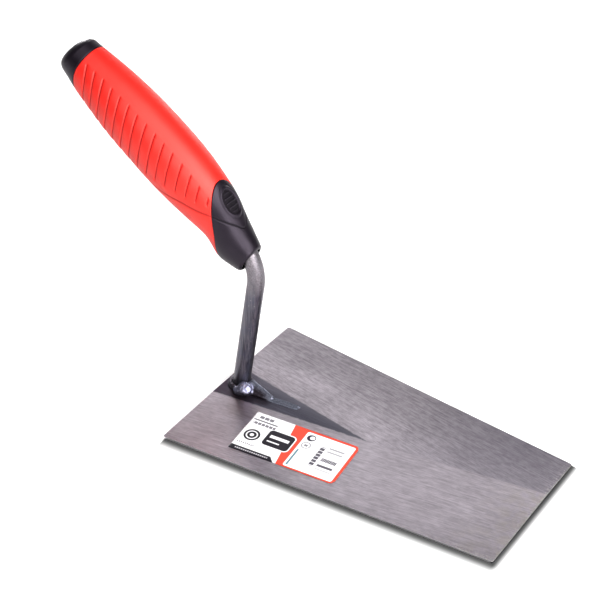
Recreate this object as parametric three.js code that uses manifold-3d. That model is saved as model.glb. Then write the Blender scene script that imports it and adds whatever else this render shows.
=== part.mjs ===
// Trapezoidal hand trowel: ground steel blade, welded round-bar neck, two-colour moulded handle.
// Millimetres, +Z up, +X from the handle towards the blade's toe. The blade lies flat on z = 0,
// and the plane y = 0 is the plane of symmetry of the blade outline, the neck and the handle.

import * as THREE from 'three';
import { mergeVertices } from 'three/addons/utils/BufferGeometryUtils.js';
import Module from 'manifold-3d';

// ---------------------------------------------------------------- driving dimensions
const BLADE_LENGTH = 180;        // heel edge to toe edge
const HEEL_WIDTH = 111.6;        // blade width at the neck end
const TOE_WIDTH = 81.6;          // blade width at the free end
const HEEL_X = -43.0;            // heel edge, so that the whole trowel is centred on x = 0
const PLATEAU_HEEL = 2.4;        // thickness of the unground triangle at the heel
const CREST_TOE = 1.55;          // thickness on the crest where it meets the toe
const EDGE_HEEL = 1.5;           // thickness of the long edges at the heel
const EDGE_TOE = 1.1;            // thickness of the long edges at the toe
const TRIANGLE_BASE = 24;        // unground triangle, measured along the heel
const TRIANGLE_LENGTH = 84;      // unground triangle, heel to apex

const BAR_DIAMETER = 9;          // neck bar
const BAR_FOOT = 8.26;           // bar centre at blade height 2, ahead of the heel
const BAR_LEAN = 9.0;            // degrees that the bar leans towards the toe
const BAR_CORNER_Z = 83.55;      // height at which the two straight runs of the bar would meet
const BAR_BEND_RADIUS = 25.4;    // centre-line bend radius
const TANG_RISE = 38.74;         // degrees above horizontal of the tang, running backwards
const TANG_LENGTH = 60;          // straight tang after the bend
const TANG_FLAT = 7.4;           // thickness over the two forged flats at the tang's end
const TANG_FLAT_LENGTH = 24;

const HANDLE_RISE = 36.25;       // degrees of the handle axis above horizontal
const HANDLE_AT = [-43.59, 0, 135.59];   // handle frame origin, measured from the heel edge
const HEIGHT_FACTOR = 1.04;      // section half height over table radius
const WIDTH_FACTOR = 0.965;      // section half width over table radius
const GRIP_WALL = 3;             // thickness of the soft grip
const CAVITY_RADIUS = 6.5;       // cored-out hollow under the butt cap
const CAVITY_END = -6;
const SPIGOT_LENGTH = 11;
const MOUTH_RADIUS = 5.75;       // flared mouth of the nose, around the bar
const NOSE_END = 79;             // station of the nose end on its centre line
const NOSE_END_SLANT = 0.125;
const BUTT_SLANT = 0.08;         // the butt end leans forward by this much per mm of height
const BUTT_SLANT_FROM = -50;     // the lean starts here
const BUTT_SLANT_FULL = -53.8;   // and is full from here to the end

const LABEL_LENGTH = 58.6;
const LABEL_WIDTH = 30.2;
const LABEL_AT = [59.7, -26.1];  // label centre, from the heel edge and the centre plane
const LABEL_TURN = 5.8;          // degrees
const LABEL_THICKNESS = 0.2;
const LABEL_CORNER = 2.5;

const GAP = 0.3;                 // clearance between neighbouring pieces
const RING = 32;                 // points around a handle section

// handle sections: station along the axis (towards the blade), drop of the section centre
// from the axis, section radius
const SECTIONS = [
  [-56.6, -0.10, 1.5],
  [-56.35, -0.10, 4.6],
  [-55.8, -0.11, 7.15],
  [-55.3, -0.12, 8.3],
  [-54.6, -0.13, 9.25],
  [-53.8, -0.14, 9.9],
  [-52.6, -0.15, 10.42],
  [-51, -0.19, 10.82],
  [-50, -0.22, 10.99],
  [-46, -0.33, 11.64],
  [-42, -0.40, 12.33],
  [-38, -0.38, 12.94],
  [-34, -0.31, 13.48],
  [-30, -0.23, 13.98],
  [-24, -0.16, 14.65],
  [-18, -0.11, 15.19],
  [-12, -0.03, 15.59],
  [-6, 0.07, 15.84],
  [0, 0.16, 15.97],
  [6, 0.20, 16.05],
  [12, 0.18, 16.09],
  [18, 0.14, 16.02],
  [24, 0.10, 15.79],
  [30, 0.01, 15.38],
  [36, -0.16, 14.80],
  [40, -0.30, 14.34],
  [44, -0.46, 13.82],
  [48, -0.63, 13.22],
  [51, -0.87, 12.72],
  [54, -1.34, 12.20],
  [57, -2.16, 11.75],
  [60, -3.33, 11.49],
  [63, -4.60, 11.35],
  [66, -5.67, 11.16],
  [69, -6.30, 10.66],
  [72, -6.55, 9.90],
  [75, -6.67, 9.07],
  [78, -6.85, 8.13],
  [81, -6.66, 7.03],
];

// front limit of the soft grip in the side view: [station, height above the axis]
const GRIP_FRONT = [
  [71.5, -24], [70.2, -20], [68.6, -17], [65.8, -12], [62.6, -7.5], [60.1, -4.1], [56.8, -0.4],
  [51.6, 5], [47.6, 9], [44.2, 12], [41.1, 14.6], [38.5, 17], [35, 20],
];

// limit between the soft grip and the butt cap in the side view
const GRIP_REAR = [
  [-34.5, -20], [-38.7, -13], [-40.9, -9], [-42.9, -4.9], [-44.9, -0.3], [-46.1, 4.6],
  [-46.6, 8.4], [-47.1, 11.8], [-47.9, 20],
];

// ---------------------------------------------------------------- solids
const wasm = await Module();
wasm.setup();

function signedVolume(geometry) {
  const p = geometry.attributes.position;
  const index = geometry.index.array;
  const a = new THREE.Vector3(), b = new THREE.Vector3(), c = new THREE.Vector3();
  let v = 0;
  for (let i = 0; i < index.length; i += 3) {
    a.fromBufferAttribute(p, index[i]);
    b.fromBufferAttribute(p, index[i + 1]);
    c.fromBufferAttribute(p, index[i + 2]);
    v += a.dot(b.cross(c));
  }
  return v / 6;
}

function welded(geometry) {
  const g = geometry.clone();
  for (const name of Object.keys(g.attributes)) if (name !== 'position') g.deleteAttribute(name);
  const m = mergeVertices(g, 1e-4);
  if (signedVolume(m) < 0) {
    const t = m.index.array;
    for (let i = 0; i < t.length; i += 3) [t[i + 1], t[i + 2]] = [t[i + 2], t[i + 1]];
  }
  return m;
}

function solid(geometry) {
  const m = welded(geometry);
  return new wasm.Manifold(new wasm.Mesh({
    numProp: 3,
    vertProperties: new Float32Array(m.attributes.position.array),
    triVerts: new Uint32Array(m.index.array),
  }));
}

function geometryOf(manifold) {
  const mesh = manifold.getMesh();
  const g = new THREE.BufferGeometry();
  const n = mesh.vertProperties.length / mesh.numProp;
  const xyz = new Float32Array(n * 3);
  for (let i = 0; i < n; i++) {
    for (let k = 0; k < 3; k++) xyz[3 * i + k] = mesh.vertProperties[mesh.numProp * i + k];
  }
  g.setAttribute('position', new THREE.BufferAttribute(xyz, 3));
  g.setIndex(new THREE.BufferAttribute(new Uint32Array(mesh.triVerts), 1));
  g.computeVertexNormals();
  return g;
}

// closed body through a row of rings that all have the same number of points
function loft(rings) {
  const n = rings[0].length;
  const xyz = [];
  const index = [];
  for (const ring of rings) for (const p of ring) xyz.push(...p);
  for (let i = 0; i + 1 < rings.length; i++) {
    for (let j = 0; j < n; j++) {
      const a = i * n + j, b = i * n + ((j + 1) % n);
      index.push(a, b, a + n, b, b + n, a + n);
    }
  }
  for (const [base, flip] of [[0, false], [(rings.length - 1) * n, true]]) {
    const centre = [0, 0, 0];
    for (let j = 0; j < n; j++) for (let k = 0; k < 3; k++) centre[k] += xyz[3 * (base + j) + k] / n;
    const c = xyz.length / 3;
    xyz.push(...centre);
    for (let j = 0; j < n; j++) {
      const a = base + j, b = base + ((j + 1) % n);
      if (flip) index.push(c, a, b); else index.push(c, b, a);
    }
  }
  const g = new THREE.BufferGeometry();
  g.setAttribute('position', new THREE.Float32BufferAttribute(xyz, 3));
  g.setIndex(index);
  return welded(g);
}

// prism across the handle from an outline given in its side view
function sidePrism(outline) {
  const shape = new THREE.Shape(outline.map(([s, h]) => new THREE.Vector2(s, h)));
  const g = new THREE.ExtrudeGeometry(shape, { depth: 60, bevelEnabled: false });
  g.rotateX(Math.PI / 2);
  g.translate(0, 30, 0);
  return solid(g);
}

function moved(geometry, x, y, z) {
  geometry.translate(x, y, z);
  return geometry;
}

const rad = THREE.MathUtils.degToRad;

// ---------------------------------------------------------------- blade
const heelHalf = HEEL_WIDTH / 2;
const toeHalf = TOE_WIDTH / 2;
const baseHalf = TRIANGLE_BASE / 2;
const crestSlope = baseHalf / TRIANGLE_LENGTH;

const edgeY = (x) => heelHalf + (toeHalf - heelHalf) * x / BLADE_LENGTH;
const edgeZ = (x) => EDGE_HEEL + (EDGE_TOE - EDGE_HEEL) * x / BLADE_LENGTH;
const crestZ = (x) => PLATEAU_HEEL + (CREST_TOE - PLATEAU_HEEL) * x / BLADE_LENGTH;
const nearCrestY = (x) => -baseHalf + crestSlope * x;              // straight from heel to toe
const farCrestY = (x) => Math.max(baseHalf - crestSlope * x, nearCrestY(x));

function bladeTop(x, y) {
  const lo = nearCrestY(x), hi = farCrestY(x), e = edgeY(x);
  if (y < lo) return edgeZ(x) + (crestZ(x) - edgeZ(x)) * (y + e) / (lo + e);
  if (y > hi) return edgeZ(x) + (crestZ(x) - edgeZ(x)) * (e - y) / (e - hi);
  return crestZ(x);
}

function bladeGeometry() {
  const stations = [0, 14, 28, 42, 56, 70, TRIANGLE_LENGTH, 100, 116, 132, 148, 164, BLADE_LENGTH];
  const rings = stations.map((x) => {
    const e = edgeY(x);
    // past the apex the two crest points part by a hair so that every ring keeps its count
    const lo = nearCrestY(x);
    const hi = Math.max(farCrestY(x), lo + 0.02);
    return [
      [x, -e, 0], [x, e, 0], [x, e, edgeZ(x)], [x, hi, crestZ(x)], [x, lo, crestZ(x)], [x, -e, edgeZ(x)],
    ];
  });
  return loft(rings);
}

// ---------------------------------------------------------------- neck bar
class NeckCurve extends THREE.Curve {
  constructor() {
    super();
    const lean = rad(BAR_LEAN), rise = rad(TANG_RISE);
    const up = new THREE.Vector3(Math.sin(lean), 0, Math.cos(lean));
    const back = new THREE.Vector3(-Math.cos(rise), 0, Math.sin(rise));
    const foot = new THREE.Vector3(BAR_FOOT, 0, 2);
    const corner = foot.clone().addScaledVector(up, (BAR_CORNER_Z - 2) / up.z);
    this.turn = Math.acos(up.dot(back));
    const reach = BAR_BEND_RADIUS * Math.tan(this.turn / 2);
    this.start = foot.clone().addScaledVector(up, -6);
    this.bendStart = corner.clone().addScaledVector(up, -reach);
    this.bendEnd = corner.clone().addScaledVector(back, reach);
    this.end = this.bendEnd.clone().addScaledVector(back, TANG_LENGTH);
    this.up = up;
    this.back = back;
    this.inward = new THREE.Vector3(-up.z, 0, up.x);
    this.l1 = this.start.distanceTo(this.bendStart);
    this.l2 = BAR_BEND_RADIUS * this.turn;
    this.l3 = TANG_LENGTH;
  }
  getPoint(t, target = new THREE.Vector3()) {
    const d = t * (this.l1 + this.l2 + this.l3);
    if (d <= this.l1) return target.copy(this.start).addScaledVector(this.up, d);
    if (d <= this.l1 + this.l2) {
      const a = (d - this.l1) / BAR_BEND_RADIUS;
      return target.copy(this.bendStart)
        .addScaledVector(this.inward, BAR_BEND_RADIUS * (1 - Math.cos(a)))
        .addScaledVector(this.up, BAR_BEND_RADIUS * Math.sin(a));
    }
    return target.copy(this.bendEnd).addScaledVector(this.back, d - this.l1 - this.l2);
  }
}
const neckCurve = new NeckCurve();

function barGeometry(radius, sides, steps) {
  const outline = [];
  for (let i = 0; i < sides; i++) {
    const a = 2 * Math.PI * (i + 0.5) / sides;
    outline.push(new THREE.Vector2(radius * Math.cos(a), radius * Math.sin(a)));
  }
  return new THREE.ExtrudeGeometry(new THREE.Shape(outline), {
    steps, bevelEnabled: false, extrudePath: neckCurve,
  });
}

const seatZ = PLATEAU_HEEL + GAP;    // pieces on the blade's triangle start here

function neckRod() {
  let bar = solid(barGeometry(BAR_DIAMETER / 2, 24, 42));
  const below = solid(moved(new THREE.BoxGeometry(60, 60, 40), BAR_FOOT, 0, seatZ - 20));
  bar = bar.subtract(below);
  // two flats at the end of the tang hold it in the handle
  const back = neckCurve.back;
  const mid = neckCurve.end.clone().addScaledVector(back, -TANG_FLAT_LENGTH / 2);
  for (const side of [-1, 1]) {
    const cutter = new THREE.BoxGeometry(TANG_FLAT_LENGTH + 2, 6, 14);
    cutter.rotateY(rad(TANG_RISE));
    cutter.translate(mid.x + back.x, side * (TANG_FLAT / 2 + 3), mid.z + back.z);
    bar = bar.subtract(solid(cutter));
  }
  return geometryOf(bar);
}

// ---------------------------------------------------------------- weld
function neckWeld() {
  const bead = new THREE.LatheGeometry([
    [0, seatZ - 1], [7.3, seatZ - 1], [7.2, seatZ + 0.5], [6.7, seatZ + 1.5], [5.9, seatZ + 2.5],
    [5.2, seatZ + 3.3], [4.6, seatZ + 3.8], [0, seatZ + 3.8],
  ].map(([r, z]) => new THREE.Vector2(r, z)), 24);
  bead.rotateX(Math.PI / 2);
  bead.translate(BAR_FOOT + 0.15, 0, 0);
  const nugget = new THREE.SphereGeometry(3.4, 14, 10);
  nugget.translate(14.6, -4.6, seatZ + 1.7);
  const lobe = new THREE.SphereGeometry(2.5, 12, 8);
  lobe.translate(11.4, -6.2, seatZ + 1.1);
  // the run-out of the weld along the triangle: a heavy lump, then a flat tail
  const runout = [[12, 3.7, 3.2, -1.0], [18, 3.4, 2.7, -1.8], [24, 2.9, 2.2, -2.0], [28, 2.2, 1.6, -2.2],
    [30.5, 1.8, 1.0, -2.4], [38, 1.8, 0.9, -1.4], [46.5, 1.6, 0.6, -0.3]];
  const rings = runout.map(([x, w, h, y]) => {
    const ring = [];
    for (let i = 0; i <= 8; i++) {
      const a = Math.PI * i / 8;
      ring.push([x, y - w * Math.cos(a), seatZ - 1 + (h + 1) * Math.sin(a)]);
    }
    return ring;
  });
  const below = solid(moved(new THREE.BoxGeometry(200, 80, 40), 40, 0, seatZ - 20));
  return geometryOf(solid(bead).add(solid(nugget)).add(solid(lobe)).add(solid(loft(rings)))
    .subtract(solid(barGeometry(BAR_DIAMETER / 2 + GAP, 24, 42)))
    .subtract(below));
}

// ---------------------------------------------------------------- handle
function sectionAt(s) {
  let i = 0;
  while (i < SECTIONS.length - 2 && s > SECTIONS[i + 1][0]) i++;
  const [s0, e0, r0] = SECTIONS[i], [s1, e1, r1] = SECTIONS[i + 1];
  const k = (s - s0) / (s1 - s0);
  return [e0 + (e1 - e0) * k, r0 + (r1 - r0) * k];
}

// body of the handle between two stations, its skin moved in by `inset`
function handleBody(from, to, inset) {
  const stations = [from, ...SECTIONS.map((q) => q[0]).filter((s) => s > from + 0.2 && s < to - 0.2), to];
  return loft(stations.map((s) => {
    const [e, r] = sectionAt(s);
    const a = Math.max(HEIGHT_FACTOR * r - inset, 0.4);
    const b = Math.max(WIDTH_FACTOR * r - inset, 0.4);
    const lean = BUTT_SLANT
      * THREE.MathUtils.clamp((BUTT_SLANT_FROM - s) / (BUTT_SLANT_FROM - BUTT_SLANT_FULL), 0, 1);
    const ring = [];
    for (let j = 0; j < RING; j++) {
      const t = 2 * Math.PI * j / RING;
      const h = e + a * Math.cos(t);
      ring.push([s + lean * h, -b * Math.sin(t), h]);
    }
    return ring;
  }));
}

const shifted = (curve, ds) => curve.map(([s, h]) => [s + ds, h]);
const noseEnd = (h) => NOSE_END - NOSE_END_SLANT * (h + 6.85);

// the neck bar's swept room, brought into the handle's own frame
function barRoom(radius) {
  const g = barGeometry(radius, 24, 42);
  g.translate(-HANDLE_AT[0], -HANDLE_AT[1], -HANDLE_AT[2]);
  g.rotateY(-rad(HANDLE_RISE));
  return solid(g);
}

function handleCore() {
  const noseZone = sidePrism([...GRIP_FRONT, [noseEnd(20), 20], [noseEnd(-24), -24]]);
  const behindNose = sidePrism([...shifted(GRIP_REAR, GAP), [60, 20], [60, -20]]);
  let core = solid(handleBody(-50, 74, GRIP_WALL)).intersect(behindNose)
    .add(solid(handleBody(34, 82, 0)).intersect(noseZone));
  const cavity = new THREE.CylinderGeometry(CAVITY_RADIUS, CAVITY_RADIUS, 60, 28);
  cavity.rotateZ(Math.PI / 2);
  cavity.translate(CAVITY_END - 30, 0, 0);
  core = core.subtract(solid(cavity)).subtract(barRoom(BAR_DIAMETER / 2 + GAP));
  // flared mouth around the bend of the bar
  const flare = new THREE.CylinderGeometry(MOUTH_RADIUS - 0.4, MOUTH_RADIUS + 0.2, 12, 28);
  flare.rotateZ(-Math.PI / 2);
  flare.rotateY(rad(17));
  flare.translate(76.5, 0, -5.9);
  return geometryOf(core.subtract(solid(flare)));
}

function gripSleeve() {
  const zone = sidePrism([...shifted(GRIP_REAR, GAP), ...shifted(GRIP_FRONT, -GAP).reverse()]);
  return geometryOf(solid(handleBody(-50, 74, 0)).intersect(zone)
    .subtract(solid(handleBody(-52, 76, GRIP_WALL - GAP))));
}

function buttCap() {
  const zone = sidePrism([...GRIP_REAR, [-70, 20], [-70, -20]]);
  const spigot = new THREE.CylinderGeometry(CAVITY_RADIUS - GAP, CAVITY_RADIUS - GAP, SPIGOT_LENGTH + 8, 28);
  spigot.rotateZ(Math.PI / 2);
  spigot.translate(-45 + (SPIGOT_LENGTH - 8) / 2, 0, 0);
  return geometryOf(solid(handleBody(-56.6, -30, 0)).intersect(zone).add(solid(spigot)));
}

// ---------------------------------------------------------------- label
function labelGeometry() {
  const hx = LABEL_LENGTH / 2, hy = LABEL_WIDTH / 2, r = LABEL_CORNER;
  const shape = new THREE.Shape();
  shape.moveTo(-hx, -hy);
  shape.lineTo(hx - r, -hy);
  shape.absarc(hx - r, -hy + r, r, -Math.PI / 2, 0, false);
  shape.lineTo(hx, hy - r);
  shape.absarc(hx - r, hy - r, r, 0, Math.PI / 2, false);
  shape.lineTo(-hx, hy);
  return new THREE.ExtrudeGeometry(shape, { depth: LABEL_THICKNESS, bevelEnabled: false, curveSegments: 6 });
}

// ---------------------------------------------------------------- assembly
const groundSteel = new THREE.MeshStandardMaterial({ color: 0xa8a3a8, roughness: 0.38, metalness: 1.0 });
const blackSteel = new THREE.MeshStandardMaterial({ color: 0x4c4c56, roughness: 0.5, metalness: 0.9 });
const weldSteel = new THREE.MeshStandardMaterial({ color: 0x5a5d70, roughness: 0.35, metalness: 0.9 });
const blackPlastic = new THREE.MeshStandardMaterial({ color: 0x2f2c31, roughness: 0.5, metalness: 0.0 });
const redRubber = new THREE.MeshStandardMaterial({ color: 0xf03a32, roughness: 0.6, metalness: 0.0 });
const paper = new THREE.MeshStandardMaterial({ color: 0xf4f2f2, roughness: 0.55, metalness: 0.0 });

function part(name, geometry, material) {
  const mesh = new THREE.Mesh(geometry, material);
  mesh.name = name;
  return mesh;
}

const trowel = new THREE.Group();
trowel.position.set(HEEL_X, 0, 0);

trowel.add(part('blade', bladeGeometry(), groundSteel));
trowel.add(part('neck_rod', neckRod(), blackSteel));
trowel.add(part('neck_weld', neckWeld(), weldSteel));

const labelSeat = new THREE.Group();
const [lx, ly] = LABEL_AT;
const slopeX = (bladeTop(lx + 20, ly) - bladeTop(lx - 20, ly)) / 40;
const slopeY = (bladeTop(lx, ly + 10) - bladeTop(lx, ly - 10)) / 20;
labelSeat.position.set(lx, ly, bladeTop(lx, ly) + GAP);
labelSeat.quaternion
  .setFromUnitVectors(new THREE.Vector3(0, 0, 1), new THREE.Vector3(-slopeX, -slopeY, 1).normalize())
  .multiply(new THREE.Quaternion().setFromAxisAngle(new THREE.Vector3(0, 0, 1), rad(LABEL_TURN)));
labelSeat.add(part('label', labelGeometry(), paper));
trowel.add(labelSeat);

const handle = new THREE.Group();
handle.position.set(...HANDLE_AT);
handle.rotation.y = rad(HANDLE_RISE);
handle.add(part('handle_core', handleCore(), blackPlastic));
handle.add(part('grip_sleeve', gripSleeve(), redRubber));
handle.add(part('butt_cap', buttCap(), blackPlastic));
trowel.add(handle);

const root = new THREE.Group();
root.add(trowel);

export default root;
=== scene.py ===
import math

import bmesh
import bpy
import numpy as np
from mathutils import Matrix, Vector, noise


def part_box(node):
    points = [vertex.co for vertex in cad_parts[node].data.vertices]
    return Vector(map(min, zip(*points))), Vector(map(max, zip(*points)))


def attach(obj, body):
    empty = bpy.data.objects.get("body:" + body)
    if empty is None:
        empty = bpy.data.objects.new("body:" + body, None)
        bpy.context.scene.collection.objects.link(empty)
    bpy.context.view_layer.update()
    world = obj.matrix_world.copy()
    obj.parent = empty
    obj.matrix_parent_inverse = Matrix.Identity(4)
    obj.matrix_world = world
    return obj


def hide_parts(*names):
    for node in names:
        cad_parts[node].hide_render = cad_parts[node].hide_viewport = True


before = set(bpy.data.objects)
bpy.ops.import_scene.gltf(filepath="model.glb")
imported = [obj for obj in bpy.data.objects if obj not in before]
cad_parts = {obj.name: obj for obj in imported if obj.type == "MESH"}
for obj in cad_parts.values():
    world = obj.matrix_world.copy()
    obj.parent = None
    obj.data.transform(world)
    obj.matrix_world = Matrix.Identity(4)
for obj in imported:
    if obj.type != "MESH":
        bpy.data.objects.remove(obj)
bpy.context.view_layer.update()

# ------------------------------------------------------------------ dimensions, mm, as in the CAD source
HEEL_X = float(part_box("blade")[0][0]) * 1000.0        # heel edge of the blade in the row frame
BLADE_LENGTH, HEEL_WIDTH, TOE_WIDTH = 180.0, 111.6, 81.6
PLATEAU_HEEL, CREST_TOE, EDGE_HEEL, EDGE_TOE = 2.4, 1.55, 1.5, 1.1
BAR_R, BAR_FOOT, BAR_LEAN, BAR_CORNER_Z, BAR_BEND, TANG_RISE, TANG_LENGTH = 4.5, 8.26, 9.0, 83.55, 25.4, 38.74, 60.0
HANDLE_RISE = 36.25
HANDLE_AT = np.array([-43.59, 0.0, 135.59])
KA, KB = 1.04, 0.965
GRIP_WALL = 3.0
LABEL_LENGTH, LABEL_WIDTH, LABEL_AT, LABEL_TURN = 58.6, 30.2, (59.7, -26.1), 5.8

SECTIONS = np.array([
    [-54, -0.14, 10.50], [-52, -0.16, 10.72], [-50, -0.22, 10.99], [-46, -0.33, 11.64], [-42, -0.40, 12.33],
    [-38, -0.38, 12.94], [-34, -0.31, 13.48], [-30, -0.23, 13.98], [-24, -0.16, 14.65], [-18, -0.11, 15.19],
    [-12, -0.03, 15.59], [-6, 0.07, 15.84], [0, 0.16, 15.97], [6, 0.20, 16.05], [12, 0.18, 16.09],
    [18, 0.14, 16.02], [24, 0.10, 15.79], [30, 0.01, 15.38], [36, -0.16, 14.80], [40, -0.30, 14.34],
    [44, -0.46, 13.82], [48, -0.63, 13.22], [51, -0.87, 12.72], [54, -1.34, 12.20], [57, -2.16, 11.75],
    [60, -3.33, 11.49], [63, -4.60, 11.35], [66, -5.67, 11.16], [69, -6.30, 10.66], [72, -6.55, 9.90],
    [75, -6.67, 9.07], [78, -6.85, 8.13], [81, -6.66, 7.03],
])
GRIP_FRONT = np.array([
    [71.5, -24], [70.2, -20], [68.6, -17], [65.8, -12], [62.6, -7.5], [60.1, -4.1], [56.8, -0.4],
    [51.6, 5], [47.6, 9], [44.2, 12], [41.1, 14.6], [38.5, 17], [35, 20],
])
GRIP_REAR = np.array([
    [-34.5, -20], [-38.7, -13], [-40.9, -9], [-42.9, -4.9], [-44.9, -0.3], [-46.1, 4.6],
    [-46.6, 8.4], [-47.1, 11.8], [-47.9, 20],
])


# ------------------------------------------------------------------ small mathematics
def spline(xs, ys):
    """Natural cubic spline through the points, as a function of an array."""
    xs, ys = np.asarray(xs, float), np.asarray(ys, float)
    n = len(xs)
    h = np.diff(xs)
    a = np.zeros((n, n))
    b = np.zeros(n)
    a[0, 0] = a[-1, -1] = 1
    for i in range(1, n - 1):
        a[i, i - 1], a[i, i], a[i, i + 1] = h[i - 1], 2 * (h[i - 1] + h[i]), h[i]
        b[i] = 6 * ((ys[i + 1] - ys[i]) / h[i] - (ys[i] - ys[i - 1]) / h[i - 1])
    m = np.linalg.solve(a, b)

    def f(x):
        x = np.asarray(x, float)
        i = np.clip(np.searchsorted(xs, x) - 1, 0, n - 2)
        d0, d1 = xs[i + 1] - x, x - xs[i]
        return (m[i] * d0**3 + m[i + 1] * d1**3) / (6 * h[i]) + (ys[i] / h[i] - m[i] * h[i] / 6) * d0 + (
            ys[i + 1] / h[i] - m[i + 1] * h[i] / 6
        ) * d1

    return f


def smooth(a, b, x):
    t = np.clip((np.asarray(x, float) - a) / (b - a), 0, 1)
    return t * t * (3 - 2 * t)


drop_of = spline(SECTIONS[:, 0], SECTIONS[:, 1])
radius_of = spline(SECTIONS[:, 0], SECTIONS[:, 2])
front_of = spline(GRIP_FRONT[:, 1], GRIP_FRONT[:, 0])   # station of the grip's front limit at a height
rear_of = spline(GRIP_REAR[::1, 1], GRIP_REAR[::1, 0])  # station of the grip's rear limit at a height
NOSE_END = 79.0


def nose_end_of(h):
    return NOSE_END - 0.125 * (h + 6.85)


def to_world(p):
    """Points in mm from the heel frame to the row frame in metres."""
    p = np.asarray(p, float).reshape(-1, 3).copy()
    p[:, 0] += HEEL_X
    return p * 0.001


_c, _s = math.cos(math.radians(HANDLE_RISE)), math.sin(math.radians(HANDLE_RISE))
AX = np.array([_c, 0, -_s])
PERP = np.array([_s, 0, _c])


def handle_to_heel(s, y, h):
    s, y, h = (np.asarray(v, float) for v in (s, y, h))
    return HANDLE_AT + s[..., None] * AX + h[..., None] * PERP + y[..., None] * np.array([0, 1.0, 0])


def handle_point(s, theta, inset=0.0):
    """Heel-frame points on the handle's skin. theta 0 is on top, 90 degrees on the near side."""
    r = radius_of(s)
    a, b = KA * r - inset, KB * r - inset
    return handle_to_heel(s, -b * np.sin(theta), drop_of(s) + a * np.cos(theta))


def limit_station(theta, limit, start):
    """Station at which the skin meets a limit curve that is given by height, for each theta."""
    s = np.full_like(theta, start)
    for _ in range(60):
        h = drop_of(s) + KA * radius_of(s) * np.cos(theta)
        s = 0.5 * s + 0.5 * limit(h)
    return s


# ------------------------------------------------------------------ mesh helpers
def mesh_object(name, verts_mm, faces, materials=(), face_material=None, smooth_shade=True):
    me = bpy.data.meshes.new(name)
    me.from_pydata([tuple(v) for v in to_world(verts_mm)], [], [tuple(int(i) for i in f) for f in faces])
    me.update()
    bm = bmesh.new()
    bm.from_mesh(me)
    bmesh.ops.recalc_face_normals(bm, faces=bm.faces)
    bm.to_mesh(me)
    bm.free()
    for m in materials:
        me.materials.append(m)
    if face_material is not None:
        me.polygons.foreach_set("material_index", np.asarray(face_material, np.int32))
    me.polygons.foreach_set("use_smooth", [smooth_shade] * len(me.polygons))
    me.update()
    ob = bpy.data.objects.new(name, me)
    bpy.context.scene.collection.objects.link(ob)
    return ob


def set_hollow(ob, values):
    """Stores how deep each point lies in a groove or recess, 0 to 1, for the material's painted shade in hollows."""
    values = np.asarray(values, np.float32).ravel()
    full = np.zeros(len(ob.data.vertices), np.float32)
    full[: len(values)] = np.clip(values, 0, 1)
    ob.data.attributes.new("hollow", "FLOAT", "POINT").data.foreach_set("value", full)


def ring_faces(n_rings, n, closed=False, start=0):
    faces = []
    last = n_rings if closed else n_rings - 1
    for i in range(last):
        a, b = start + i * n, start + ((i + 1) % n_rings) * n
        for j in range(n):
            k = (j + 1) % n
            faces.append((a + j, a + k, b + k, b + j))
    return faces


def lofted(rings, cap_start=True, cap_end=True, closed=False):
    """rings: list of (n, 3) arrays. Returns vertices and faces of the closed skin."""
    n = len(rings[0])
    verts = np.concatenate(rings)
    faces = ring_faces(len(rings), n, closed)
    if not closed:
        extra = []
        if cap_start:
            c = len(verts) + len(extra)
            extra.append(rings[0].mean(0))
            faces += [(c, (j + 1) % n, j) for j in range(n)]
        if cap_end:
            c = len(verts) + len(extra)
            base = (len(rings) - 1) * n
            extra.append(rings[-1].mean(0))
            faces += [(c, base + j, base + (j + 1) % n) for j in range(n)]
        if extra:
            verts = np.concatenate([verts, np.array(extra)])
    return verts, faces


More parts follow.
